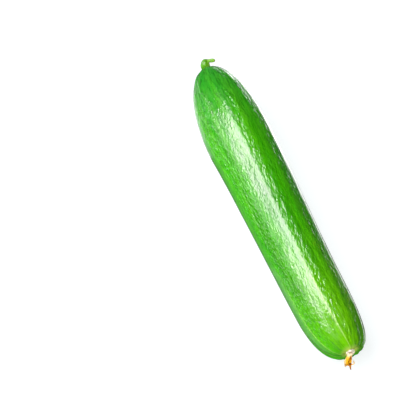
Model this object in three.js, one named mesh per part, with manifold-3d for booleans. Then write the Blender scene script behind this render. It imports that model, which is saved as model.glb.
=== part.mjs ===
// A picked mini cucumber lying on its side: the fruit, the stub of its stem, and the dried flower at its tip.
// Millimetres, +Z up. The fruit lies along X, with its stem end at -X and its blossom end at +X.
// Each solid is a turned shape that is then bent along its own line and given its ribs and creases.
import * as THREE from "three";
import { mergeVertices } from "three/addons/utils/BufferGeometryUtils.js";
import Module from "manifold-3d";

const wasm = await Module();
wasm.setup();

// The fruit: its length, and its radius at three places along it, before the ribs are added.
const LENGTH = 175.6;
const SHOULDER = { at: 0.25, radius: 16.95 };
const MIDDLE = { at: 0.5, radius: 15.45 };
const WAIST = { at: 0.8, radius: 14.25 };
const WIDTH_FROM = 0.1; // outside this stretch the radius stays what it is at its ends
const WIDTH_TO = 0.95;

// The two rounded ends: how long, how full and how blunt each is, and how its tip leaves the middle line.
const STEM_END = { length: 50.5, fullness: 1.9, bluntness: 1.97, side: 2.45, rise: 1.4, curl: 2 };
const BLOSSOM_END = { length: 32.5, fullness: 2.35, bluntness: 2.95, side: 1.0, rise: 2.2, curl: 3 };
// The shallow hollows that the stem and the flower stand in. The flower's is off the middle of its end.
const STEM_HOLLOW = { depth: 0.7, radius: 3.4, side: 0, rise: 0 };
const BLOSSOM_HOLLOW = { depth: -0.9, radius: 4.2, side: -1.1, rise: 2.1 };

// The middle line's slight curve, and how deep the belly is pressed flat where the fruit lies on it.
const BOW = 0.65;
const SWAY = 0.57;
const BELLY_FLAT = 0.45;

// Ribs run from end to end. Angles are degrees round the fruit, from +Y over the top.
const RIBS = [
  { angle: 10, height: 0.24 },
  { angle: 34, height: 0.32 },
  { angle: 58, height: 0.22 },
  { angle: 81, height: 0.28 },
  { angle: 99, height: 0.4 },
  { angle: 131, height: 0.24 },
  { angle: 160, height: 0.3 },
  { angle: 178, height: 0.16 },
  { angle: 205, height: 0.34 },
  { angle: 230, height: 0.24 },
  { angle: 256, height: 0.32 },
  { angle: 281, height: 0.22 },
  { angle: 307, height: 0.34 },
  { angle: 334, height: 0.26 },
];
const RIB_WIDTH = 8; // degrees, from a rib's crest to where it has faded
const RIB_MORE_AT_BLOSSOM = 0.8; // how much prouder the ribs stand near the flower, as a share
const RIB_MORE_AT_STEM = 0.5;
const RIB_FADE_RADIUS = 8; // ribs shrink where the fruit is thinner than this

const FRUIT_STEPS_ROUND = 72;
const FRUIT_STEPS_ALONG = 60;

// The stem: a ribbed stub that swells into a knuckle, and a thin tail bent over to one side.
// Each outline is radius and height along the piece.
const STUB_OUTLINE = [
  [3.0, -2.4],
  [2.9, -0.9],
  [2.2, 0.1],
  [1.7, 0.9],
  [1.45, 1.9],
  [1.4, 2.9],
  [1.55, 3.6],
  [1.6, 4.2],
  [1.4, 4.9],
  [0.9, 5.3],
];
const STUB_DIRECTION = new THREE.Vector3(-0.9, 0.1, 0.36);
const TAIL_OUTLINE = [
  [0.75, -0.4],
  [0.62, 1.0],
  [0.58, 2.2],
  [0.68, 3.6],
  [0.76, 4.6],
  [0.7, 5.1],
];
const TAIL_DIRECTION = new THREE.Vector3(0.27, 0.93, 0.16);
const TAIL_FROM = 4.7; // along the stub
const STEM_RIBS = { count: 5, height: 0.1 }; // the height is a share of the radius
const STUB_STEPS = 30;
const TAIL_STEPS = 15;

// The dried flower: a pale lobed collar in the hollow, and shrivelled petals that hang out of its mouth.
const COLLAR_OUTLINE = [
  [1.1, -1.6],
  [1.9, -1.6],
  [2.1, 0.2],
  [2.05, 0.9],
  [1.75, 1.3],
  [1.35, 1.15],
  [1.1, 0.4],
];
const COLLAR_DIRECTION = new THREE.Vector3(0.92, -0.3, 0.08);
const COLLAR_LOBES = { count: 5, height: 0.12 };
const COLLAR_STEPS = 30;
const MOUTH_HEIGHT = 1.15;
const KNOT_RADIUS = 1.0;

// The petals' own directions: down their hang, across it, and outwards from the fruit.
const HANG = new THREE.Vector3(0.6, -0.26, -0.76).normalize();
const ACROSS = new THREE.Vector3(0.397, 0.918, 0).normalize();
const OUTWARDS = new THREE.Vector3().crossVectors(HANG, ACROSS);
// Each petal has its middle line from the mouth, as down, across and outwards, its half width, its turns of
// twist, and the share of its width that is lost by its tip.
const PETALS = [
  {
    line: [[0.2, -0.6, 0.1], [1.6, -1.6, 0.6], [4.0, -1.9, 0.6], [6.6, -1.75, 0.1]],
    halfWidth: 1.15,
    twist: 0.14,
    taper: 0.15,
  },
  {
    line: [[0.3, 0, 0], [1.3, 0, 0.6], [3.9, 0.5, 0.5], [5.6, -0.1, 0.2], [9.1, 0.5, -0.5]],
    halfWidth: 0.8,
    twist: -0.35,
    taper: 0.5,
  },
  {
    line: [[5.9, 0, 0], [6.2, 1.0, 0.2], [5.2, 1.4, 0.5], [4.3, 1.1, 0.7]],
    halfWidth: 0.5,
    twist: 0.2,
    taper: 0.3,
  },
  {
    line: [[0.4, -0.2, -0.2], [2.6, -0.5, -0.4], [4.8, -0.7, -0.3], [6.4, -0.3, -0.2]],
    halfWidth: 0.8,
    twist: 0.3,
    taper: 0.4,
  },
];
const PETAL_HALF_THICKNESS = 0.42;
const PETAL_CRUMPLE = 0.12; // how much the width swells and shrinks along a petal, as a share
const PETAL_CREASE = 0.2; // the same for the thickness
const PETAL_RINGS = 14;
const PETAL_STEPS = 8;

const GAP = 0.3; // between the pieces
const FULL_TURN = 360;
const DEGREE = Math.PI / 180;

// The curve through the three radii, as a function of the share of the length.
function widthAt(share) {
  const t = THREE.MathUtils.clamp(share, WIDTH_FROM, WIDTH_TO);
  const places = [SHOULDER, MIDDLE, WAIST];
  let width = 0;
  for (const place of places) {
    let weight = 1;
    for (const other of places) {
      if (other !== place) weight *= (t - other.at) / (place.at - other.at);
    }
    width += weight * place.radius;
  }
  return width;
}

// 1 at the tip of an end, falling to 0 where that end meets the body.
function tipShare(end, fromTip) {
  return Math.max(0, 1 - fromTip / end.length);
}

function roundOff(end, fromTip) {
  return Math.max(0, 1 - tipShare(end, fromTip) ** end.fullness) ** (1 / end.bluntness);
}

function radiusAt(along) {
  return widthAt(along / LENGTH) * roundOff(STEM_END, along) * roundOff(BLOSSOM_END, LENGTH - along);
}

// The middle line: the belly lies straight, and both tips leave it a little.
function middleAt(along) {
  const share = along / LENGTH;
  const stem = tipShare(STEM_END, along) ** STEM_END.curl;
  const blossom = tipShare(BLOSSOM_END, LENGTH - along) ** BLOSSOM_END.curl;
  const sway = BOW * Math.sin(Math.PI * share) + SWAY * Math.sin(2 * Math.PI * share);
  return {
    y: sway + STEM_END.side * stem + BLOSSOM_END.side * blossom,
    z: widthAt(share) - BELLY_FLAT + STEM_END.rise * stem + BLOSSOM_END.rise * blossom,
  };
}

function ribAt(angle, along) {
  let height = 0;
  for (const rib of RIBS) {
    const turn = THREE.MathUtils.euclideanModulo(angle / DEGREE - rib.angle, FULL_TURN);
    const away = Math.min(turn, FULL_TURN - turn);
    height += rib.height * Math.exp(-((away / RIB_WIDTH) ** 2));
  }
  const nearStem = RIB_MORE_AT_STEM * tipShare(STEM_END, along);
  const nearBlossom = RIB_MORE_AT_BLOSSOM * tipShare(BLOSSOM_END, LENGTH - along);
  return height * (1 + nearStem + nearBlossom) * Math.min(1, radiusAt(along) / RIB_FADE_RADIUS);
}

function skinPoint(along, angle) {
  const plain = radiusAt(along);
  const radius = plain > 0 ? plain + ribAt(angle, along) : 0;
  const middle = middleAt(along);
  const hollow = along < LENGTH / 2 ? STEM_HOLLOW : BLOSSOM_HOLLOW;
  const inHollow = Math.exp(-((plain / hollow.radius) ** 2));
  return new THREE.Vector3(
    along - LENGTH / 2 + hollow.depth * inHollow,
    middle.y + radius * Math.cos(angle) + hollow.side * inHollow,
    Math.max(0, middle.z + radius * Math.sin(angle) + hollow.rise * inHollow),
  );
}

// A shape turned about Y, each of whose points is then moved by `place` from its height, radius and angle.
function turned(outline, steps, place) {
  const points = outline.map(([radius, height]) => new THREE.Vector2(radius, height));
  const geometry = new THREE.LatheGeometry(points, steps);
  const position = geometry.attributes.position;
  for (let i = 0; i < position.count; i++) {
    const x = position.getX(i);
    const z = position.getZ(i);
    const moved = place(position.getY(i), Math.hypot(x, z), Math.atan2(x, z));
    position.setXYZ(i, moved.x, moved.y, moved.z);
  }
  return geometry;
}

function closed(outline) {
  return [[0, outline[0][1]], ...outline, [0, outline.at(-1)[1]]];
}

// A ribbed or lobed turned shape that stands at `start` and points along `direction`.
function standing(outline, steps, start, direction, ribs) {
  const up = new THREE.Vector3(0, 1, 0);
  const turn = new THREE.Quaternion().setFromUnitVectors(up, direction.clone().normalize());
  return turned(outline, steps, (height, radius, angle) => {
    const ribbed = radius * (1 + ribs.height * Math.cos(ribs.count * angle));
    const point = new THREE.Vector3(ribbed * Math.sin(angle), height, ribbed * Math.cos(angle));
    return point.applyQuaternion(turn).add(start);
  });
}

function welded(geometry) {
  const bare = geometry.clone();
  bare.deleteAttribute("normal");
  bare.deleteAttribute("uv");
  return mergeVertices(bare, 1e-4);
}

// A closed geometry as a solid that can be joined and cut, with its skin moved outwards by `grow`.
function solidOf(geometry, grow = 0) {
  const skin = welded(geometry);
  const position = skin.attributes.position;
  skin.computeVertexNormals();
  const normal = skin.attributes.normal;
  for (let i = 0; i < position.count; i++) {
    const x = position.getX(i) + grow * normal.getX(i);
    const y = position.getY(i) + grow * normal.getY(i);
    position.setXYZ(i, x, y, position.getZ(i) + grow * normal.getZ(i));
  }
  const mesh = new wasm.Mesh({
    numProp: 3,
    vertProperties: position.array,
    triVerts: new Uint32Array(skin.index.array),
  });
  return new wasm.Manifold(mesh);
}

function geometryOf(solid) {
  const mesh = solid.getMesh();
  const geometry = new THREE.BufferGeometry();
  geometry.setAttribute("position", new THREE.BufferAttribute(mesh.vertProperties, mesh.numProp));
  geometry.setIndex(new THREE.BufferAttribute(mesh.triVerts, 1));
  geometry.computeVertexNormals();
  return geometry;
}

// The fruit: its rings crowd towards the two tips, where the skin turns fastest.
function fruitGeometry() {
  const outline = [[0, 0]];
  for (let i = 1; i < FRUIT_STEPS_ALONG; i++) {
    outline.push([1, (LENGTH * (1 - Math.cos((Math.PI * i) / FRUIT_STEPS_ALONG))) / 2]);
  }
  outline.push([0, LENGTH]);
  return turned(outline, FRUIT_STEPS_ROUND, (along, radius, angle) => skinPoint(along, angle));
}

const fruit = fruitGeometry();
const fruitAndGap = solidOf(fruit, GAP);

function stemSolid() {
  const foot = skinPoint(0, 0);
  const knuckle = foot.clone().addScaledVector(STUB_DIRECTION.clone().normalize(), TAIL_FROM);
  const stub = standing(closed(STUB_OUTLINE), STUB_STEPS, foot, STUB_DIRECTION, STEM_RIBS);
  const tail = standing(closed(TAIL_OUTLINE), TAIL_STEPS, knuckle, TAIL_DIRECTION, STEM_RIBS);
  return solidOf(stub).add(solidOf(tail)).subtract(fruitAndGap);
}

const scar = skinPoint(LENGTH, 0);
const mouth = scar.clone().addScaledVector(COLLAR_DIRECTION.clone().normalize(), MOUTH_HEIGHT);

function collarGeometry() {
  const ring = [...COLLAR_OUTLINE, COLLAR_OUTLINE[0]];
  return standing(ring, COLLAR_STEPS, scar, COLLAR_DIRECTION, COLLAR_LOBES);
}

// A petal: a thin strip along its own line, twisted, crumpled, and narrower towards both ends.
function petalGeometry(petal) {
  const points = petal.line.map(([down, across, outwards]) => {
    const point = mouth.clone().addScaledVector(HANG, down);
    return point.addScaledVector(ACROSS, across).addScaledVector(OUTWARDS, outwards);
  });
  const line = new THREE.CatmullRomCurve3(points);
  const outline = [[0, 0]];
  for (let i = 0; i <= PETAL_RINGS; i++) outline.push([1, i / PETAL_RINGS]);
  outline.push([0, 1]);
  return turned(outline, PETAL_STEPS, (share, radius, angle) => {
    const tangent = line.getTangentAt(share);
    const side = new THREE.Vector3().crossVectors(tangent, OUTWARDS).normalize();
    const face = new THREE.Vector3().crossVectors(side, tangent);
    const swell = (0.6 + 0.4 * Math.min(1, 3 * share)) * (1 - petal.taper * share ** 2);
    const crumple = 1 + PETAL_CRUMPLE * Math.sin(18 * share + 3 * petal.twist);
    const crease = 1 + PETAL_CREASE * Math.cos(11 * share);
    const wide = radius * petal.halfWidth * swell * crumple * Math.sin(angle);
    const thick = radius * PETAL_HALF_THICKNESS * crease * Math.cos(angle);
    const turn = 2 * Math.PI * petal.twist * share;
    const point = line.getPointAt(share);
    point.addScaledVector(side, wide * Math.cos(turn) - thick * Math.sin(turn));
    return point.addScaledVector(face, wide * Math.sin(turn) + thick * Math.cos(turn));
  });
}

const collar = collarGeometry();

function petalsSolid() {
  const knot = new THREE.SphereGeometry(KNOT_RADIUS, 12, 8);
  knot.translate(mouth.x, mouth.y, mouth.z);
  let bunch = solidOf(knot);
  for (const petal of PETALS) bunch = bunch.add(solidOf(petalGeometry(petal)));
  return bunch.subtract(fruitAndGap).subtract(solidOf(collar, GAP));
}

const skinGreen = new THREE.MeshStandardMaterial({ color: 0x3fa31c, roughness: 0.28, metalness: 0 });
const stemGreen = new THREE.MeshStandardMaterial({ color: 0x76c428, roughness: 0.5, metalness: 0 });
const collarCream = new THREE.MeshStandardMaterial({ color: 0xf0dcb4, roughness: 0.8, metalness: 0 });
const petalOchre = new THREE.MeshStandardMaterial({ color: 0xdd9a2b, roughness: 0.75, metalness: 0 });

function named(name, geometry, material) {
  const mesh = new THREE.Mesh(geometry, material);
  mesh.name = name;
  return mesh;
}

const cucumber = new THREE.Group();
cucumber.add(named("fruit", fruit, skinGreen));
cucumber.add(named("stem", geometryOf(stemSolid()), stemGreen));
cucumber.add(named("flower_collar", geometryOf(solidOf(collar).subtract(fruitAndGap)), collarCream));
cucumber.add(named("flower_petals", geometryOf(petalsSolid()), petalOchre));

// The origin is on the table, under the middle of the whole part.
const middle = new THREE.Box3().setFromObject(cucumber).getCenter(new THREE.Vector3());
cucumber.position.set(-middle.x, -middle.y, 0);

export default cucumber;
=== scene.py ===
import math

import bmesh
import bpy
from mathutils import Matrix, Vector


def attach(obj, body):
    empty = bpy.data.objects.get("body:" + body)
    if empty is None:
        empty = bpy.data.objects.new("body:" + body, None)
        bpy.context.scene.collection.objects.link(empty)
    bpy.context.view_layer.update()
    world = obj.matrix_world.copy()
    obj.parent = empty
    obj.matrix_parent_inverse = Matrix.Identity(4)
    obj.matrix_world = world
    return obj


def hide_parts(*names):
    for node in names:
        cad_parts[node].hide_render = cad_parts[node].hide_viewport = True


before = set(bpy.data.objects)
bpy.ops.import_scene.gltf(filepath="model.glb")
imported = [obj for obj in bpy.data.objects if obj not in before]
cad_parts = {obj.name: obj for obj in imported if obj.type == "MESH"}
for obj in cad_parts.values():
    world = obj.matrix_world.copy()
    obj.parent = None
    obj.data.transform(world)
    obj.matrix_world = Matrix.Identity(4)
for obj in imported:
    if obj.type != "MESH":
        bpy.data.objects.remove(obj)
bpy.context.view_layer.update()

# A picked mini cucumber lying on a pale studio floor, in the frame of its solids.
# The fruit and the camera are measured in millimetres, which MM turns into metres. The lamps are in metres.
MM = 0.001

# The fruit, with the measures of its solid. The start is its stem end.
LENGTH = 175.6
SHOULDER, MIDDLE, WAIST = (0.25, 16.95), (0.5, 15.45), (0.8, 14.25)
STEM_END = dict(length=50.5, fullness=1.9, bluntness=1.97, side=2.45, rise=1.4, curl=2)
BLOSSOM_END = dict(length=32.5, fullness=2.35, bluntness=2.95, side=1.0, rise=2.2, curl=3)
STEM_HOLLOW = dict(depth=0.7, radius=3.4, side=0, rise=0)
BLOSSOM_HOLLOW = dict(depth=-0.9, radius=4.2, side=-1.1, rise=2.1)
BOW, SWAY, BELLY_FLAT = 0.65, 0.57, 0.45
RIBS = [(10, 0.24), (34, 0.32), (58, 0.22), (81, 0.28), (99, 0.4), (131, 0.24), (160, 0.3),
        (178, 0.16), (205, 0.34), (230, 0.24), (256, 0.32), (281, 0.22), (307, 0.34), (334, 0.26)]
RIB_WIDTH, RIB_MORE_AT_BLOSSOM, RIB_MORE_AT_STEM, RIB_FADE_RADIUS = 8, 0.8, 0.5, 8
STEPS_ROUND, STEPS_ALONG = 72, 60
# The radius of the straight rod that the skin's paint is laid out on.
GRAIN_RADIUS = 15.5
# From the start of the fruit's own measures to the middle of the whole part.
PLACE = Vector((-0.622, -1.045, 0.0))


def clear_selection():
    for thing in bpy.context.selected_objects:
        thing.select_set(False)


def pick(piece):
    clear_selection()
    piece.select_set(True)
    bpy.context.view_layer.objects.active = piece


def settle(piece):
    """The piece's place goes into its mesh."""
    pick(piece)
    bpy.ops.object.transform_apply(location=True, rotation=True, scale=True)


def finish_with(piece, kind, **settings):
    pick(piece)
    modifier = piece.modifiers.new(kind.title(), kind)
    for name, value in settings.items():
        setattr(modifier, name, value)
    bpy.ops.object.modifier_apply(modifier=modifier.name)


def select_points(piece, test):
    """In edit mode, selects the points that pass the test and what lies wholly between them."""
    shape = bmesh.from_edit_mesh(piece.data)
    for point in shape.verts:
        point.select = test(point)
    shape.select_flush_mode()
    bmesh.update_edit_mesh(piece.data)


def selected_points(piece):
    return [point.index for point in bmesh.from_edit_mesh(piece.data).verts if point.select]


def width_at(share):
    """The fruit's radius before its ends are rounded off, on a curve through its three widths."""
    t = min(max(share, 0.1), 0.95)
    width = 0
    for at, radius in (SHOULDER, MIDDLE, WAIST):
        weight = 1
        for other, _ in (SHOULDER, MIDDLE, WAIST):
            if other != at:
                weight *= (t - other) / (at - other)
        width += weight * radius
    return width


def tip_share(end, from_tip):
    """1 at the very tip of an end, falling to 0 where that end begins."""
    return max(0, 1 - from_tip / end["length"])


def round_off(end, from_tip):
    """How much of the radius is left that far from the tip: nothing at the tip, all where the end begins."""
    return max(0, 1 - tip_share(end, from_tip) ** end["fullness"]) ** (1 / end["bluntness"])


def ring_at(along):
    """The middle and the radius of the fruit's ring, that far from its stem end."""
    share = along / LENGTH
    radius = width_at(share) * round_off(STEM_END, along) * round_off(BLOSSOM_END, LENGTH - along)
    stem = tip_share(STEM_END, along) ** STEM_END["curl"]
    blossom = tip_share(BLOSSOM_END, LENGTH - along) ** BLOSSOM_END["curl"]
    side = BOW * math.sin(math.pi * share) + SWAY * math.sin(2 * math.pi * share)
    side += STEM_END["side"] * stem + BLOSSOM_END["side"] * blossom
    rise = width_at(share) - BELLY_FLAT + STEM_END["rise"] * stem + BLOSSOM_END["rise"] * blossom
    hollow = STEM_HOLLOW if along < LENGTH / 2 else BLOSSOM_HOLLOW
    inside = math.exp(-(radius / hollow["radius"]) ** 2)
    middle = Vector((along - LENGTH / 2 + hollow["depth"] * inside,
                     side + hollow["side"] * inside, rise + hollow["rise"] * inside))
    return (middle + PLACE) * MM, radius * MM


def rib_height(degrees, along):
    """How far the ribs raise the skin at that angle. They are higher at both ends and fade at the poles."""
    height = 0
    for angle, rib in RIBS:
        away = abs((degrees - angle + 180) % 360 - 180)
        height += rib * math.exp(-(away / RIB_WIDTH) ** 2)
    more = RIB_MORE_AT_STEM * tip_share(STEM_END, along)
    more += RIB_MORE_AT_BLOSSOM * tip_share(BLOSSOM_END, LENGTH - along)
    fade = min(1, ring_at(along)[1] / MM / RIB_FADE_RADIUS)
    return height * (1 + more) * fade * MM


def draw_out(name, direction, rings, around):
    """Draws a round body out of a disc, ring by ring. Returns it and the points of each ring."""
    (tip, _), (middle, radius) = rings[:2]
    clear_selection()
    bpy.ops.mesh.primitive_circle_add(vertices=around, radius=radius, fill_type="TRIFAN", location=middle,
                                      rotation=direction.to_track_quat("Z", "Y").to_euler())
    piece = bpy.context.object
    piece.name = name
    settle(piece)
    bpy.ops.object.mode_set(mode="EDIT")
    select_points(piece, lambda point: (point.co - middle).length < radius / 2)
    pole = selected_points(piece)
    bpy.ops.transform.translate(value=tip - middle)
    select_points(piece, lambda point: point.index not in pole)
    points = [pole, selected_points(piece)]
    for next_middle, next_radius in rings[2:-1]:
        bpy.ops.mesh.extrude_region_move(TRANSFORM_OT_translate={"value": next_middle - middle})
        swell = next_radius / radius
        bpy.ops.transform.resize(value=(swell, swell, swell), center_override=next_middle)
        points.append(selected_points(piece))
        middle, radius = next_middle, next_radius
    bpy.ops.mesh.extrude_region_move(TRANSFORM_OT_translate={"value": rings[-1][0] - middle})
    bpy.ops.mesh.merge(type="CENTER")
    points.append(selected_points(piece))
    bpy.ops.mesh.select_all(action="SELECT")
    bpy.ops.mesh.normals_make_consistent(inside=False)
    bpy.ops.object.mode_set(mode="OBJECT")
    return piece, points


def raise_points(piece, heights):
    """Moves points outwards, each by its height."""
    tallest = max(heights.values())
    group = piece.vertex_groups.new(name="raised")
    for index, height in heights.items():
        group.add([index], height / tallest, "REPLACE")
    finish_with(piece, "DISPLACE", direction="NORMAL", vertex_group="raised", strength=tallest, mid_level=0)
    piece.vertex_groups.remove(piece.vertex_groups["raised"])


# Where the pattern of all dents starts. The fruit's, the stem's and the flower's dents follow from it.
DENTS_START = (0.3 * MM, 7 * MM, 3 * MM)


def dent(piece, name, size_mm, depth_mm, level=0.5, turn=(0, 0, 0)):
    """Soft dents and swellings of about that size, as (length, width, width).

    What is under the level sinks, and the rest swells.
    """
    clouds = bpy.data.textures.new(name, "CLOUDS")
    clouds.noise_scale = 1
    clouds.noise_depth = 1
    clear_selection()
    bpy.ops.object.empty_add(location=DENTS_START, rotation=turn)
    ruler = bpy.context.object
    ruler.scale = Vector(size_mm) * MM
    bpy.context.view_layer.update()
    finish_with(piece, "DISPLACE", texture=clouds, texture_coords="OBJECT",
                texture_coords_object=ruler, strength=depth_mm * MM, mid_level=level)
    bpy.data.objects.remove(ruler)


def make_fruit():
    """Draws the fruit out from its stem end, raises its ribs, dents it and presses its belly flat."""
    stations = [LENGTH * (1 - math.cos(math.pi * i / STEPS_ALONG)) / 2 for i in range(STEPS_ALONG + 1)]
    fruit, rings = draw_out("cucumber_skin", Vector((1, 0, 0)),
                            [ring_at(along) for along in stations], STEPS_ROUND)

    # The grain is where each point would be if the fruit were a straight rod. The skin's paint follows it.
    heights = {}
    straight = [Vector()] * len(fruit.data.vertices)
    for along, points in zip(stations, rings):
        middle = ring_at(along)[0]
        for index in points:
            straight[index] = Vector((along, 0, 0)) * MM
            if len(points) > 1:
                out = fruit.data.vertices[index].co - middle
                angle = math.atan2(out.z, out.y)
                straight[index] += Vector((0, math.cos(angle), math.sin(angle))) * GRAIN_RADIUS * MM
                heights[index] = rib_height(math.degrees(angle), along)
    raise_points(fruit, heights)
    grain = fruit.data.attributes.new("grain", "FLOAT_VECTOR", "POINT")
    for point, place in zip(grain.data, straight):
        point.vector = place
    finish_with(fruit, "SUBSURF", levels=1, render_levels=1)
    dent(fruit, "dents", size_mm=(24, 9, 9), depth_mm=0.3, level=0.6)
    dent(fruit, "puckers", size_mm=(9, 4, 4), depth_mm=0.12, level=0.6)
    finish_with(fruit, "SUBSURF", levels=1, render_levels=1)

    bpy.ops.object.mode_set(mode="EDIT")
    select_points(fruit, lambda point: point.co.z < 0)
    bpy.ops.transform.resize(value=(1, 1, 0), center_override=(0, 0, 0))
    bpy.ops.object.mode_set(mode="OBJECT")
    bpy.ops.object.shade_smooth()
    return fruit


class Paint:
    """A material that is mixed step by step."""

    def __init__(self, name):
        self.material = bpy.data.materials.new(name)
        self.material.use_nodes = True
        self.nodes = self.material.node_tree.nodes
        self.links = self.material.node_tree.links
        self.shader = self.nodes["Principled BSDF"]

    def node(self, kind, inputs=(), **settings):
        node = self.nodes.new(kind)
        for name, value in settings.items():
            setattr(node, name, value)
        for socket, value in dict(inputs).items():
            self.put(node, socket, value)
        return node

    def put(self, node, socket, value):
        if isinstance(value, bpy.types.NodeSocket):
            self.links.new(value, node.inputs[socket])
        else:
            node.inputs[socket].default_value = value

    def times(self, a, b):
        return self.node("ShaderNodeMath", {0: a, 1: b}, operation="MULTIPLY").outputs[0]

    def plus(self, a, b):
        return self.node("ShaderNodeMath", {0: a, 1: b}, operation="ADD").outputs[0]

    def unsigned(self, value):
        return self.node("ShaderNodeMath", {0: value}, operation="ABSOLUTE").outputs[0]

    def place(self):
        return self.node("ShaderNodeTexCoord").outputs["Object"]

    def attribute(self, name):
        return self.node("ShaderNodeAttribute", attribute_name=name).outputs["Vector"]

    def parts(self, vector):
        return self.node("ShaderNodeSeparateXYZ", {0: vector}).outputs

    def along(self, place, start_mm, direction):
        """How far a place lies from the start in that direction."""
        away = self.node("ShaderNodeVectorMath", {0: place, 1: start_mm * MM}, operation="SUBTRACT")
        length = self.node("ShaderNodeVectorMath", {0: away.outputs[0], 1: direction},
                           operation="DOT_PRODUCT")
        return length.outputs["Value"]

    def towards(self, grain, degrees):
        """How far a place on the straight fruit lies from its middle line, towards that angle."""
        return self.along(grain, Vector(), side_of_grain(degrees))

    def near(self, place, centre_mm, inner_mm, outer_mm):
        """1 close to the centre, falling to 0 at the outer distance."""
        away = self.node("ShaderNodeVectorMath", {0: place, 1: centre_mm * MM}, operation="DISTANCE")
        return self.ease_mm(away.outputs["Value"], inner_mm, outer_mm, 1.0, 0.0)

    def clouds(self, where, cell_mm, detail=2.0, shift=0.0):
        """Soft noise whose cells have that size, as (along, across, across)."""
        scaled = self.node("ShaderNodeMapping", {0: where, 1: (shift, shift * 1.7, -shift)},
                           vector_type="POINT")
        scaled.inputs["Scale"].default_value = [1 / (size * MM) for size in cell_mm]
        noise = self.node("ShaderNodeTexNoise",
                          {"Vector": scaled.outputs[0], "Scale": 1.0, "Detail": detail})
        return noise.outputs[0]

    def turned(self, vector, degrees):
        """The vector turned round the upright axis."""
        return self.node("ShaderNodeVectorRotate", {"Vector": vector, "Angle": math.radians(degrees)},
                         rotation_type="Z_AXIS").outputs[0]

    def ease(self, value, low, high, start=0.0, end=1.0):
        """Value's way from low to high, as start to end, eased at both."""
        return self.node("ShaderNodeMapRange", {0: value, 1: low, 2: high, 3: start, 4: end},
                         interpolation_type="SMOOTHSTEP").outputs[0]

    def ease_mm(self, value, low_mm, high_mm, start=0.0, end=1.0):
        return self.ease(value, low_mm * MM, high_mm * MM, start, end)

    def mix(self, share, a, b):
        """Colour a, with that share of colour b."""
        node = self.node("ShaderNodeMix", data_type="RGBA")
        self.put(node, 0, share)
        self.put(node, 6, a)
        self.put(node, 7, b)
        return node.outputs[2]

    def relief(self, height, depth_mm, under=None, strength=1.0):
        """Fine relief of that depth, on top of the relief under it."""
        inputs = {"Height": height, "Distance": depth_mm * MM, "Strength": strength}
        if under is not None:
            inputs["Normal"] = under
        return self.node("ShaderNodeBump", inputs).outputs[0]


def tone(red, green, blue):
    """A colour as it is seen, from 0 to 255, for a shader."""
    def light(value):
        value /= 255
        return value / 12.92 if value <= 0.04045 else ((value + 0.055) / 1.055) ** 2.4
    return (light(red), light(green), light(blue), 1.0)


def side_of_grain(degrees):
    """The way out of the straight fruit at that angle round it."""
    return Vector((0, math.cos(math.radians(degrees)), math.sin(math.radians(degrees))))


def rib_line(paint, grain, degrees, width_mm, start_mm, end_mm):
    """1 on a thin line at that angle, which sets in between the start and the end, and 0 beside it."""
    line = paint.ease_mm(paint.unsigned(paint.towards(grain, degrees + 90)), 0.1, width_mm, 1.0, 0.0)
    this_side = paint.ease_mm(paint.towards(grain, degrees), 0, 5)
    reach = paint.ease_mm(paint.parts(grain)[0], start_mm, end_mm)
    return paint.times(paint.times(line, this_side), reach)


# The skin's greens, from the stem end to the blossom end, what streaks and marks them, and the painted
# shade, light and highlight laid on them.
DEEP, FRESH, YELLOW = tone(44, 165, 44), tone(57, 178, 0), tone(112, 194, 0)
PALE_STREAK, DARK_STREAK, DARK_DASH = tone(104, 200, 0), tone(32, 128, 4), tone(22, 112, 6)
# Among these: a darker green that is partly the skin's own and partly painted shade on the right flank, and
# a lime that is painted light on a stripe of the left flank.
MOTTLED, DEEP_GREEN_AND_PAINTED_SHADE, PAINTED_LIGHT_LIME = tone(104, 192, 40), tone(16, 84, 24), tone(86, 208, 0)
# Among these: a pale line colour that is partly the skin's own and partly a painted highlight on the rib
# crests, and a pale ring colour round the scar that is partly the skin's own and partly painted light
# against the pit's shade.
PALE_LINE_AND_HIGHLIGHT, SPECK, PALE_SCAR_RING_AND_PAINTED_LIGHT = tone(178, 226, 96), tone(158, 184, 40), tone(216, 242, 104)
# Where round the fruit the skin, its painted shade and its painted light change, in degrees, as for the
# ribs. 90 is on top.
RIPE_SIDE, SPECKLED_SIDE, PAINTED_SHADE_SIDE, POLISHED_SIDE = 60, 50, 40, 30
WRINKLED_TOP, CALM_BAND, LIVELY_SIDE, PAINTED_LIGHT_RIB = 105, 112, 165, 163
# Pale lines near the blossom end, partly the skin's own colour and partly a painted highlight on the rib
# crests: angle, width, where they set in, where they are full, and strength.
PALE_AND_HIGHLIGHT_LINES = [(99, 0.6, 105, 150, 0.7), (81, 0.5, 120, 160, 0.22), (160, 0.8, 120, 158, 0.4),
              (184, 0.9, 120, 158, 0.5)]


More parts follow.
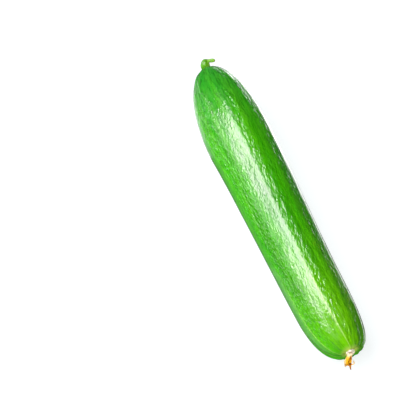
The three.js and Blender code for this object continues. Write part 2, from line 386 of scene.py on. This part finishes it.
def skin_colour(paint, grain, mottle):
    """Green that ripens towards the flower, with long streaks, short dashes, pale lines partly painted as
    highlight, specks, painted shade on the right flank, and painted light on a left stripe and round the
    scar.
    """
    along = paint.parts(grain)[0]
    colour = paint.mix(paint.ease_mm(along, 0, 62), DEEP, FRESH)
    ripe = paint.ease_mm(paint.towards(grain, RIPE_SIDE), -4, 12, 0.1, 1.0)
    colour = paint.mix(paint.times(paint.ease_mm(along, 95, 172), ripe), colour, YELLOW)

    from_stem = paint.ease_mm(along, 2, 45, 0.3, 1.0)
    streaks = paint.clouds(grain, (46, 3.4, 3.4), detail=3, shift=4.1)
    streaks = paint.times(paint.ease(streaks, 0.35, 0.65, 0.0, 0.75), from_stem)
    colour = paint.mix(streaks, colour, paint.mix(0.5, colour, PALE_STREAK))
    dark = paint.clouds(grain, (70, 5.5, 5.5), detail=2, shift=9.3)
    dark = paint.times(paint.ease(dark, 0.42, 0.68, 0.0, 0.5), from_stem)
    colour = paint.mix(dark, colour, DARK_STREAK)

    # Painted shade: a darker band along the right flank, partly the skin's own deep green.
    painted_shade = paint.ease_mm(paint.towards(grain, PAINTED_SHADE_SIDE), 13.4, 14.9)
    painted_shade = paint.times(painted_shade, paint.ease_mm(along, 25, 110, 0.08, 0.4))
    colour = paint.mix(painted_shade, colour, DEEP_GREEN_AND_PAINTED_SHADE)
    # Painted light: a lighter lime stripe along the left flank towards the stem end.
    painted_light_stripe = rib_line(paint, grain, PAINTED_LIGHT_RIB, 2.6, 10, 28)
    painted_light_stripe = paint.times(painted_light_stripe, paint.ease_mm(along, 60, 100, 0.6, 0.0))
    colour = paint.mix(painted_light_stripe, colour, PAINTED_LIGHT_LIME)
    colour = paint.mix(paint.ease(mottle, 0.3, 0.75, 0.0, 0.4), colour, paint.mix(0.4, colour, MOTTLED))

    # Pale lines on the rib crests near the blossom end: partly the skin's own pale colour, partly a painted
    # highlight.
    breaks = paint.ease(paint.clouds(grain, (9, 2.5, 2.5), detail=1, shift=7.7), 0.35, 0.6, 0.3, 1.0)
    for degrees, width, start, end, strength in PALE_AND_HIGHLIGHT_LINES:
        line = paint.times(rib_line(paint, grain, degrees, width, start, end), strength)
        colour = paint.mix(paint.times(line, breaks), colour, PALE_LINE_AND_HIGHLIGHT)
    dashes = paint.clouds(grain, (5.5, 1.0, 1.0), detail=2, shift=5.3)
    dashes = paint.times(paint.ease(dashes, 0.5, 0.64), paint.ease_mm(along, 8, 50, 0.8, 0.45))
    colour = paint.mix(dashes, colour, paint.mix(0.75, colour, DARK_DASH))
    specks = paint.ease(paint.clouds(grain, (3.5, 1.5, 1.5), detail=2, shift=8.1), 0.6, 0.72)
    specks = paint.times(specks, paint.ease_mm(paint.towards(grain, SPECKLED_SIDE), 14.6, 15.4))
    specks = paint.times(specks, paint.ease_mm(along, 95, 125, 0.0, 0.5))
    colour = paint.mix(specks, colour, SPECK)
    # A paler ring round the scar: partly the skin's own colour, partly painted light that offsets the shade
    # in the pit.
    return paint.mix(paint.near(paint.place(), SCAR, 1.5, 5.5), colour, PALE_SCAR_RING_AND_PAINTED_LIGHT)


def skin_relief(paint, grain):
    """Dents, slanted wrinkles and a fine grain, strongest on top, with a calm band along the crest."""
    slanted = paint.turned(grain, 15)
    dents = paint.clouds(grain, (22, 7.5, 7.5), detail=1, shift=1.0)
    wrinkles = paint.clouds(slanted, (3.2, 1.5, 1.5), detail=1.5, shift=3.0)
    fine = paint.clouds(slanted, (1.3, 0.7, 0.7), detail=1, shift=6.0)
    on_top = paint.ease_mm(paint.towards(grain, WRINKLED_TOP), 2, 11, 0.08, 1.0)
    lively = paint.ease_mm(paint.unsigned(paint.towards(grain, CALM_BAND + 90)), 2.5, 5.5, 0.5, 1.3)
    lively = paint.plus(lively, paint.ease_mm(paint.towards(grain, LIVELY_SIDE), 12, 15))
    normal = paint.relief(dents, 0.4, strength=on_top)
    normal = paint.relief(wrinkles, 0.38, normal, paint.times(on_top, lively))
    return paint.relief(fine, 0.12, normal, on_top)


def skin_paint():
    paint = Paint("cucumber_skin")
    grain = paint.attribute("grain")
    mottle = paint.clouds(grain, (6.5, 1.9, 1.9), detail=2, shift=2.2)
    polish = paint.ease_mm(paint.towards(grain, POLISHED_SIDE), 9, 15, 1.0, 0.5)
    paint.put(paint.shader, "Base Color", skin_colour(paint, grain, mottle))
    paint.put(paint.shader, "Normal", skin_relief(paint, grain))
    paint.put(paint.shader, "Roughness", paint.times(paint.ease(mottle, 0.3, 0.7, 0.14, 0.25), polish))
    paint.put(paint.shader, "IOR", 1.36)
    paint.put(paint.shader, "Sheen Weight", 0.11)
    paint.put(paint.shader, "Sheen Roughness", 0.25)
    paint.put(paint.shader, "Sheen Tint", (0.8, 1, 0.75, 1))
    return paint.material


# The stem: a ribbed stub with a knuckle, and the thin tail that leaves it sideways.
STEM_POLE = Vector((-87.1, 2.45, 17.95)) + PLACE
STUB_DIRECTION = Vector((-0.72, 0.08, 0.69)).normalized()
STUB_OUTLINE = [(0, -2.4), (2.7, -2.4), (2.5, -0.9), (2.2, 0.3), (2.2, 1.4), (2.35, 2.5), (2.3, 3.5),
                (2.0, 4.4), (1.55, 5.2), (0.9, 5.85), (0, 6.1)]
TAIL_DIRECTION = Vector((0.31, 0.94, -0.02)).normalized()
TAIL_OUTLINE = [(0, -0.4), (1.0, -0.4), (0.95, 1), (0.85, 2.0), (0.92, 3.0), (1.05, 3.9), (0.95, 4.7),
                (0.55, 5.5), (0, 5.7)]
KNUCKLE_HEIGHT = 5.4
KNUCKLE = STEM_POLE + STUB_DIRECTION * KNUCKLE_HEIGHT
STEM_RIBS, STEM_RIB_HEIGHT = 5, 0.16
SMALL_STEPS_ROUND = 30


def outline_rings(outline, start, direction):
    """The rings of an outline that is given as pairs of radius and height over the start."""
    return [((start + direction * height) * MM, radius * MM) for radius, height in outline]


def lobe_heights(rings, count, height_mm):
    """Heights that raise each ring's points in that many rounded lobes."""
    return {index: height_mm * MM * (1 + math.cos(math.tau * count * i / len(ring))) / 2
            for ring in rings if len(ring) > 1 for i, index in enumerate(ring)}


def join(pieces):
    clear_selection()
    for piece in pieces:
        piece.select_set(True)
    bpy.context.view_layer.objects.active = pieces[0]
    bpy.ops.object.join()
    return pieces[0]


def make_stem():
    stub, rings = draw_out("cucumber_stem", STUB_DIRECTION,
                           outline_rings(STUB_OUTLINE, STEM_POLE, STUB_DIRECTION), SMALL_STEPS_ROUND)
    raise_points(stub, lobe_heights(rings, STEM_RIBS, STEM_RIB_HEIGHT))
    tail, _ = draw_out("tail", TAIL_DIRECTION,
                       outline_rings(TAIL_OUTLINE, KNUCKLE, TAIL_DIRECTION), SMALL_STEPS_ROUND)
    stem = join([stub, tail])
    finish_with(stem, "REMESH", mode="VOXEL", voxel_size=0.11 * MM)
    finish_with(stem, "SMOOTH", factor=0.5, iterations=4)
    dent(stem, "stem_dents", size_mm=(1.6, 1.6, 1.6), depth_mm=0.1)
    pick(stem)
    bpy.ops.object.shade_smooth()
    return stem


STUB_FOOT, STUB_TOP, TAIL_GREEN = tone(56, 140, 0), tone(92, 170, 0), tone(146, 212, 66)
STEM_SPOT, STEM_CUT = tone(44, 126, 2), tone(134, 140, 60)


def stem_paint():
    """Darker at the foot of the stub, paler along the tail, and dull where it was cut."""
    paint = Paint("cucumber_stem")
    place = paint.place()
    up_stub = paint.along(place, STEM_POLE, STUB_DIRECTION)
    down_tail = paint.along(place, KNUCKLE, TAIL_DIRECTION)
    colour = paint.mix(paint.ease_mm(up_stub, 0.2, 3.4), STUB_FOOT, STUB_TOP)
    colour = paint.mix(paint.ease_mm(down_tail, 0.6, 2.4), colour, TAIL_GREEN)
    spots = paint.clouds(place, (0.9, 0.9, 0.9), detail=3, shift=5.0)
    colour = paint.mix(paint.ease(spots, 0.35, 0.7, 0.0, 0.55), colour, paint.mix(0.5, colour, STEM_SPOT))
    colour = paint.mix(paint.times(paint.ease_mm(down_tail, 4.7, 5.15), 0.75), colour, STEM_CUT)
    paint.put(paint.shader, "Base Color", colour)
    paint.put(paint.shader, "Normal", paint.relief(paint.clouds(place, (0.7, 0.7, 0.7), detail=2), 0.16))
    paint.put(paint.shader, "Roughness", paint.ease(spots, 0.3, 0.7, 0.26, 0.4))
    paint.put(paint.shader, "IOR", 1.32)
    return paint.material


# The dried flower: a corky ring on the scar, and what is left of the petals, which hang out of it.
SCAR = Vector((86.9, -0.1, 17.745)) + PLACE
MOUTH = Vector((87.99, -0.455, 17.84)) + PLACE
COLLAR_DIRECTION = Vector((0.92, -0.3, 0.08)).normalized()
COLLAR_OUTLINE = [(0, -1.5), (1.7, -1.5), (1.85, 0.1), (1.88, 0.7), (1.75, 1.15), (1.45, 1.32),
                  (1.18, 1.25), (1.05, 1.12), (0.9, 1.02), (0, 0.98)]
COLLAR_LOBES, COLLAR_LOBE_HEIGHT = 5, 0.3
# The way that the petals hang, and the way across them. Their lines are given down, across and outwards.
HANG = Vector((0.6, -0.26, -0.76)).normalized()
ACROSS = Vector((0.397, 0.918, 0)).normalized()
OUTWARDS = HANG.cross(ACROSS)
PETALS = [
    dict(line=[(0.1, -0.4, 0), (1.5, -0.9, 0.6), (3.2, -1.7, 0.7), (5.0, -1.95, 0.5), (6.2, -1.6, 0.1)],
         widths=[0.6, 0.8, 0.9, 1.1, 1.1], tilt=0.15),
    dict(line=[(0.1, 0.1, 0), (1.3, 0.1, 0.6), (3.2, 0.3, 0.5), (5.1, -0.1, 0.3), (6.8, 0, 0.1),
               (8.6, 0.5, -0.3)],
         widths=[0.55, 0.7, 0.5, 0.6, 0.58, 0.3], tilt=-0.35),
    dict(line=[(5.3, 0.1, 0.1), (5.7, 1.0, 0.3), (5.0, 1.75, 0.5), (3.9, 1.65, 0.7), (3.3, 1.2, 0.6)],
         widths=[0.38, 0.36, 0.34, 0.32, 0.25], tilt=0.2),
    dict(line=[(0.3, -0.2, -0.2), (2.6, -0.6, -0.4), (4.8, -0.8, -0.3), (6.4, -0.4, -0.2)],
         widths=[0.6, 0.75, 0.65, 0.45], tilt=0.3),
]
PETAL_FOLD, PETAL_THICKNESS, PETAL_STEPS_ROUND = 0.35, 0.3, 24
CORK_PALE, CORK_DARK, CORK_MOUTH = tone(255, 248, 232), tone(242, 220, 182), tone(206, 160, 132)


def make_collar():
    collar, rings = draw_out("corky_collar", COLLAR_DIRECTION,
                             outline_rings(COLLAR_OUTLINE, SCAR, COLLAR_DIRECTION), SMALL_STEPS_ROUND)
    raise_points(collar, lobe_heights(rings[2:6], COLLAR_LOBES, COLLAR_LOBE_HEIGHT))
    finish_with(collar, "REMESH", mode="VOXEL", voxel_size=0.09 * MM)
    finish_with(collar, "SMOOTH", factor=0.5, iterations=3)
    dent(collar, "cork", size_mm=(0.8, 0.8, 0.8), depth_mm=0.3)
    pick(collar)
    bpy.ops.object.shade_smooth()
    return collar


def collar_paint():
    paint = Paint("flower_collar")
    place = paint.place()
    cork = paint.clouds(place, (0.7, 0.7, 0.7), detail=3)
    colour = paint.mix(paint.ease(cork, 0.35, 0.7), CORK_PALE, CORK_DARK)
    colour = paint.mix(paint.times(paint.near(place, MOUTH, 0.4, 1.2), 0.6), colour, CORK_MOUTH)
    paint.put(paint.shader, "Base Color", colour)
    paint.put(paint.shader, "Roughness", paint.ease(cork, 0.3, 0.7, 0.55, 0.7))
    paint.put(paint.shader, "Normal", paint.relief(cork, 0.2))
    return paint.material


def hung(down, across, outwards):
    """A place on the petals, in metres, by its way from the collar's mouth in millimetres."""
    return (MOUTH + HANG * down + ACROSS * across + OUTWARDS * outwards) * MM


def petal_section():
    """The section of a petal: a flat oval, folded along its middle."""
    fold = bpy.data.curves.new("fold", "CURVE")
    fold.dimensions = "2D"
    strip = fold.splines.new("POLY")
    strip.points.add(PETAL_STEPS_ROUND - 1)
    strip.use_cyclic_u = True
    for i, point in enumerate(strip.points):
        turn = math.tau * i / PETAL_STEPS_ROUND
        rise = PETAL_THICKNESS * math.sin(turn) + PETAL_FOLD * math.cos(turn) ** 2
        point.co = Vector((math.cos(turn), rise, 0, 1 / MM)) * MM
    section = bpy.data.objects.new("fold", fold)
    bpy.context.scene.collection.objects.link(section)
    return section


def sweep_petal(section, petal):
    """Sweeps the section along the petal's line, as a mesh."""
    curve = bpy.data.curves.new("petal", "CURVE")
    curve.dimensions = "3D"
    curve.twist_mode = "Z_UP"
    curve.resolution_u = 10
    curve.bevel_mode = "OBJECT"
    curve.bevel_object = section
    curve.use_fill_caps = True
    line = curve.splines.new("NURBS")
    line.points.add(len(petal["line"]) - 1)
    line.order_u = 3
    line.use_endpoint_u = True
    for point, place, width in zip(line.points, petal["line"], petal["widths"]):
        point.co = (*hung(*place), 1)
        point.radius = width
        point.tilt = petal["tilt"]
    piece = bpy.data.objects.new("petal", curve)
    bpy.context.scene.collection.objects.link(piece)
    pick(piece)
    bpy.ops.object.convert(target="MESH")
    return bpy.context.object


def make_petals():
    """Sweeps the petals, joins them and crumples the lot."""
    clear_selection()
    section = petal_section()
    petals = [sweep_petal(section, petal) for petal in PETALS]
    bpy.data.objects.remove(section)
    flower = join(petals)
    flower.name = "dried_petals"
    finish_with(flower, "REMESH", mode="VOXEL", voxel_size=0.1 * MM)
    finish_with(flower, "SMOOTH", factor=0.5, iterations=2)
    dent(flower, "crumple", size_mm=(1.6, 0.7, 0.7), depth_mm=0.45, turn=(0, 0.9, -0.4))
    pick(flower)
    bpy.ops.object.shade_smooth()
    return flower


PETAL_FOOT, PETAL_OCHRE, PETAL_TIP = tone(255, 238, 196), tone(255, 188, 0), tone(222, 128, 36)
PETAL_RIM, PETAL_CURL, PETAL_VEIN = tone(255, 232, 180), tone(238, 206, 160), tone(190, 104, 10)
# Brown spots: place, reach in millimetres, strength and colour.
SPOTS = [(hung(2.3, 0.6, 1), 1.5, 1.0, tone(180, 98, 8)), (hung(5.2, 0.1, 0.7), 1.0, 1.0, tone(130, 52, 10)),
         (hung(5.5, -2.4, 0.6), 0.7, 0.7, tone(190, 128, 36)),
         (hung(8.6, 0.5, -0.3), 1.1, 0.7, tone(176, 88, 30))]


def petal_paint():
    """Cream at the collar, ochre below it and brown at the tips, with pale edges, brown spots and veins."""
    paint = Paint("flower_petals")
    place = paint.place()
    down = paint.along(place, MOUTH, HANG)
    across = paint.along(place, MOUTH, ACROSS)
    veins = paint.clouds(place, (0.5, 0.5, 0.9), detail=3, shift=2.0)
    colour = paint.mix(paint.ease_mm(down, 0.4, 2.2), PETAL_FOOT, PETAL_OCHRE)
    colour = paint.mix(paint.ease_mm(down, 4.6, 7.5), colour, PETAL_TIP)
    colour = paint.mix(paint.times(paint.ease_mm(across, -1.7, -2.5), 0.7), colour, PETAL_RIM)
    for spot, reach, strength, dark in SPOTS:
        colour = paint.mix(paint.times(paint.near(place, spot / MM, 0.3, reach), strength), colour, dark)
    colour = paint.mix(paint.times(paint.ease_mm(across, 0.75, 1.3), 0.6), colour, PETAL_CURL)
    colour = paint.mix(paint.ease(veins, 0.45, 0.75, 0.0, 0.35), colour, paint.mix(0.5, colour, PETAL_VEIN))
    paint.put(paint.shader, "Base Color", colour)
    paint.put(paint.shader, "Roughness", paint.ease(veins, 0.3, 0.7, 0.45, 0.65))
    paint.put(paint.shader, "IOR", 1.3)
    paint.put(paint.shader, "Normal", paint.relief(veins, 0.15))
    return paint.material


for piece, paint, node, slot in ((make_fruit(), skin_paint(), "fruit", "skin"),
                                 (make_stem(), stem_paint(), "stem", "stem"),
                                 (make_collar(), collar_paint(), "flower_collar", "collar"),
                                 (make_petals(), petal_paint(), "flower_petals", "petal")):
    piece.data.materials.clear()
    piece.data.materials.append(paint)
    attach(piece, "root")
    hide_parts(node)


UP, DOWN = (0, 0, 1), (0, 0, -1)
UNDER_FLOOR = -0.002
ROSY, PINK = (1, 0.73, 0.97), (1, 0.79, 0.96)
# How wide a lamp shines, in degrees.
ALL_ROUND, NARROW = 180, 150


def lamp(name, place, facing, size, glow, lights_surfaces=True, mirrored=True, tint=(1, 1, 1),
         spread=ALL_ROUND):
    """A soft flat lamp. Glow is how bright its front is, where 1 is white in the picture."""
    light = bpy.data.lights.new(name, "AREA")
    light.shape = "RECTANGLE"
    light.size, light.size_y = size
    light.energy = glow * math.pi * size[0] * size[1]
    light.color = tint
    light.spread = math.radians(spread)
    holder = bpy.data.objects.new(name, light)
    holder.location = place
    holder.rotation_euler = (-Vector(facing)).to_track_quat("Z", "Y").to_euler()
    holder.visible_diffuse = lights_surfaces
    holder.visible_glossy = mirrored
    bpy.context.scene.collection.objects.link(holder)


def lamp_toward(name, direction, distance, size, glow, **kind):
    """A lamp that stands that way from the fruit and faces it."""
    way = Vector(direction).normalized()
    lamp(name, way * distance, -way, size, glow, **kind)


def floor_glow(name, middle, size, glow, spread=ALL_ROUND):
    """A bright stretch of floor that is only seen mirrored in the skin."""
    lamp("floor_glow_" + name, (*middle, UNDER_FLOOR), UP, size, glow, lights_surfaces=False, spread=spread)


# Three lamps light the surfaces. The others are only mirrored: the window, its blinds and the bright floor.
lamp_toward("softbox", (0.02, -0.47, 0.86), 1.6, (1.1, 1.1), 8.1, mirrored=False)
lamp_toward("side_wall", (-0.2, -0.95, 0.16), 1.4, (1.0, 0.4), 1.5, mirrored=False)
lamp_toward("ceiling", (0.3, 0.1, 0.95), 1.6, (1.1, 1.1), 0.7, mirrored=False)
lamp("window", (-0.49, -0.4, 1.2), DOWN, (0.66, 1.08), 25, lights_surfaces=False, tint=ROSY)
lamp("window_bright_half", (-0.66, -0.53, 1.19), DOWN, (0.3, 0.6), 12, lights_surfaces=False, tint=ROSY)
for height, glow in ((0.1, 6), (0.34, 15), (0.58, 16)):
    lamp_toward("blind", (-0.56, -0.87, height), 1.3, (0.74, 0.12), glow, lights_surfaces=False, tint=PINK)
floor_glow("far", (-0.1, 0.068), (0.12, 0.082), 3.9, NARROW)
floor_glow("near", (0.0325, 0.051), (0.145, 0.048), 2.4, NARROW)
floor_glow("left", (0.07, -0.045), (0.1, 0.05), 0.8)
floor_glow("middle", (-0.015, -0.045), (0.07, 0.05), 0.25)
for along, length, glow in ((-0.097, 0.046, 1.4), (-0.068, 0.012, 1.0), (-0.056, 0.012, 0.6)):
    floor_glow("shoulder", (along, -0.035), (length, 0.05), glow, NARROW)
floor_glow("stem", (-0.2, 0.078), (0.08, 0.102), 3.2, NARROW)

clear_selection()
bpy.ops.mesh.primitive_plane_add(size=6, location=(0, 0, 0))
floor = bpy.context.object
floor.name = "floor"
floor_paint = Paint("pale_floor")
for socket, value in (("Base Color", (0.24, 0.243, 0.246, 1)), ("Roughness", 1.0),
                      ("Specular IOR Level", 0.0), ("Emission Color", (0.96, 0.98, 1, 1)),
                      ("Emission Strength", 0.88)):
    floor_paint.put(floor_paint.shader, socket, value)
floor.data.materials.append(floor_paint.material)
floor.visible_glossy = False

world = bpy.data.worlds.new("studio")
world.use_nodes = True
sky = world.node_tree.nodes["Background"].inputs
sky["Color"].default_value = (0.95, 0.97, 1, 1)
sky["Strength"].default_value = 0.05
bpy.context.scene.world = world
bpy.context.scene.view_settings.view_transform = "Standard"

# The camera looks at the fruit from the photograph's side, from the height that its tilt gives.
AZIMUTH, ELEVATION, DISTANCE = math.radians(66.63), math.radians(58), 855.1
back = Vector((math.sin(AZIMUTH) * math.cos(ELEVATION), -math.cos(AZIMUTH) * math.cos(ELEVATION),
               math.sin(ELEVATION)))
target = Vector((-11.2, -28.4, 15.0)) + PLACE
eye = bpy.data.cameras.new("eye")
eye.lens = 150
eye.sensor_width = 36
camera = bpy.data.objects.new("eye", eye)
camera.location = (target + back * DISTANCE) * MM
camera.rotation_euler = back.to_track_quat("Z", "Y").to_euler()
bpy.context.scene.collection.objects.link(camera)
bpy.context.scene.camera = camera
